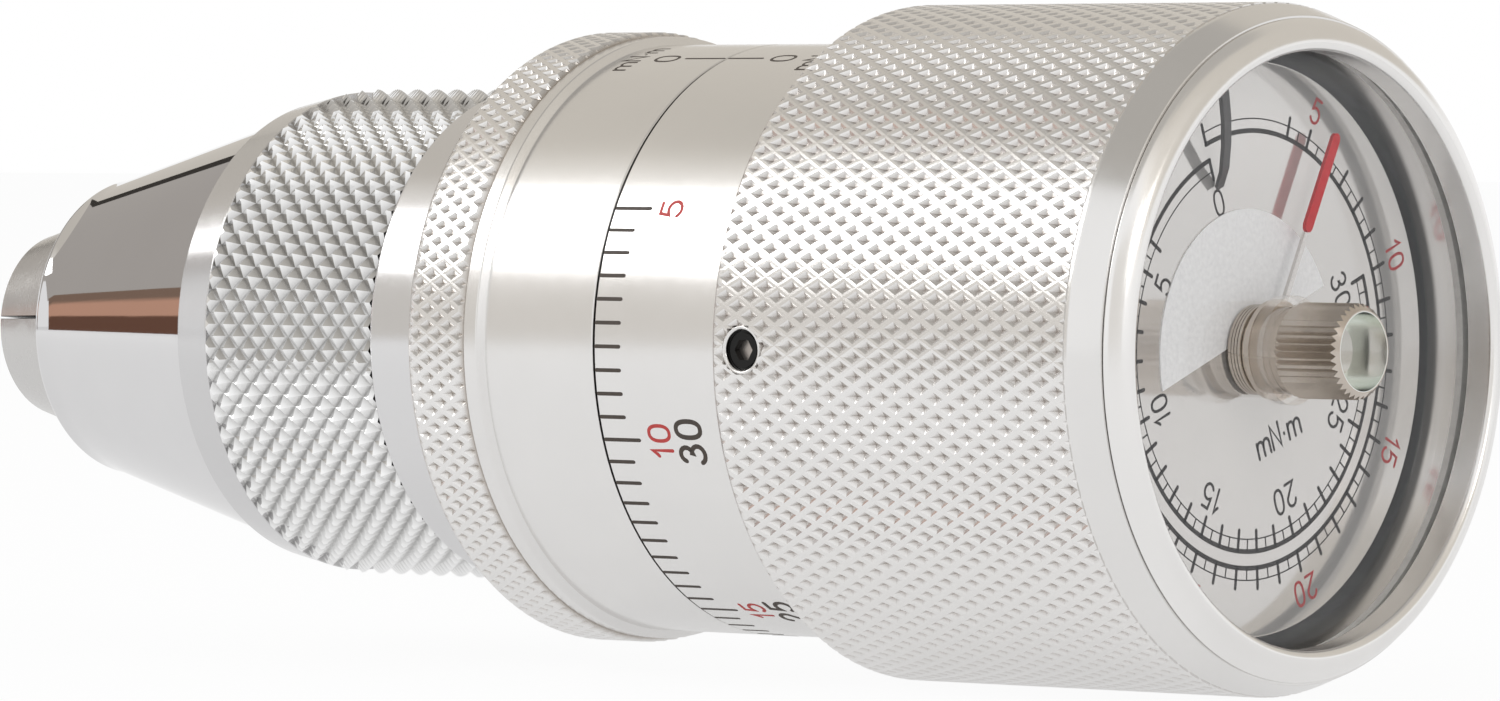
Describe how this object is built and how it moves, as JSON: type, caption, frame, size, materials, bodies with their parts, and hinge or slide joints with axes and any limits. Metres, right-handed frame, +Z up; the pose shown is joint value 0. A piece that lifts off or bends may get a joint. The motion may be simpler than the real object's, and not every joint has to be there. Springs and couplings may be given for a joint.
{
  "type": "torque tester",
  "caption": "Hand-held dial torque gauge: keyless three-jaw chuck on a sprung spindle, knurled grip housing with scale drum, glazed dial and a red memory hand with reset knob.",
  "frame": {"origin": "centre of the chuck mouth, on the spindle axis, in the plane of the closed jaws' front faces", "axes": "+X along the spindle axis from the chuck towards the dial, +Z up with the tester lying on its grip as pictured, +Y to the far side of the picture"},
  "size_m": [0.1338, 0.052, 0.052],
  "materials": {
    "satin_aluminium": "satin",
    "inner_aluminium": "machined",
    "polished_aluminium": "polished",
    "bright_chrome": "bright",
    "mirror_chrome": "mirror",
    "jaw_steel": "ground",
    "ground_steel": "ground",
    "bearing_steel": "polished",
    "spring_steel": "bright",
    "black_steel": "black oxide",
    "hub_brass": "machined",
    "nut_brass": "machined",
    "black_enamel": "satin",
    "red_enamel": "satin",
    "hand_silver": "satin",
    "nickel_knob": "nickel plated",
    "dial_face": "satin lacquered",
    "label_paper": "matte",
    "gasket_rubber": "matte",
    "clear_crystal": "clear",
    "clear_plastic": "clear"
  },
  "bodies": {
    "housing": {"grip_housing": "satin_aluminium", "scale_drum": "satin_aluminium", "clamp_screws": "black_steel", "bulkhead": "inner_aluminium", "bulkhead_ring": "spring_steel", "bearing_outer_rings": "bearing_steel", "measuring_spring": "spring_steel", "spring_post": "bearing_steel", "index_pointer": "black_enamel", "crystal_gasket": "gasket_rubber", "crystal": "clear_crystal", "crystal_bushing": "clear_plastic", "bezel": "polished_aluminium"},
    "spindle": {"spindle": "ground_steel", "chuck_body": "ground_steel", "sleeve_snap_ring": "spring_steel", "chuck_flange": "bright_chrome", "front_ring": "satin_aluminium", "spindle_nut": "ground_steel", "front_spacer": "ground_steel", "middle_spacer": "ground_steel", "bearing_inner_rings": "bearing_steel", "bearing_balls": "bearing_steel", "spring_collet": "hub_brass", "dial_hub": "hub_brass", "dial_screws": "ground_steel", "dial_plate": "dial_face", "dial_label": "label_paper"},
    "chuck_sleeve": {"chuck_sleeve": "bright_chrome", "nose_hood": "mirror_chrome", "drive_nut": "nut_brass"},
    "jaw_carrier": {"jaw_carrier": "ground_steel"},
    "jaw_1": {"jaw_1": "jaw_steel"},
    "jaw_2": {"jaw_2": "jaw_steel"},
    "jaw_3": {"jaw_3": "jaw_steel"},
    "memory_hand": {"reset_knob": "nickel_knob", "knob_stem": "nickel_knob", "knob_screw": "ground_steel", "spring_washers": "spring_steel", "hand_hub": "hand_silver", "hand_neck": "hand_silver", "hand_blade": "red_enamel"}
  },
  "joints": [
    {"name": "spindle_turn", "type": "hinge", "parent": "housing", "child": "spindle", "pos_m": [0.085, 0, 0], "axis": [1, 0, 0], "range_deg": [-270, 270], "stiffness_Nm_per_rad": 0.006366},
    {"name": "sleeve_turn", "type": "hinge", "parent": "spindle", "child": "chuck_sleeve", "pos_m": [0.045, 0, 0], "axis": [1, 0, 0], "range_deg": [0, 1080]},
    {"name": "carrier_slide", "type": "slide", "parent": "spindle", "child": "jaw_carrier", "axis": [1, 0, 0], "range_m": [0, 0.01288]},
    {"name": "jaw_1_slide", "type": "slide", "parent": "spindle", "child": "jaw_1", "axis": [0.965, -0.1083, 0.2388], "range_m": [0, 0.01335]},
    {"name": "jaw_2_slide", "type": "slide", "parent": "spindle", "child": "jaw_2", "axis": [0.965, -0.1526, -0.2132], "range_m": [0, 0.01335]},
    {"name": "jaw_3_slide", "type": "slide", "parent": "spindle", "child": "jaw_3", "axis": [0.965, 0.2609, -0.0256], "range_m": [0, 0.01335]},
    {"name": "memory_hand_turn", "type": "hinge", "parent": "housing", "child": "memory_hand", "pos_m": [0.1265, 0, 0], "axis": [1, 0, 0], "range_deg": [-305, 40]}
  ],
  "couplings": [
    {"joint": "carrier_slide", "follows": "sleeve_turn", "m_per_rad": 0.00068334},
    {"joint": "jaw_1_slide", "follows": "sleeve_turn", "m_per_rad": 0.00070812},
    {"joint": "jaw_2_slide", "follows": "sleeve_turn", "m_per_rad": 0.00070812},
    {"joint": "jaw_3_slide", "follows": "sleeve_turn", "m_per_rad": 0.00070812}
  ]
}
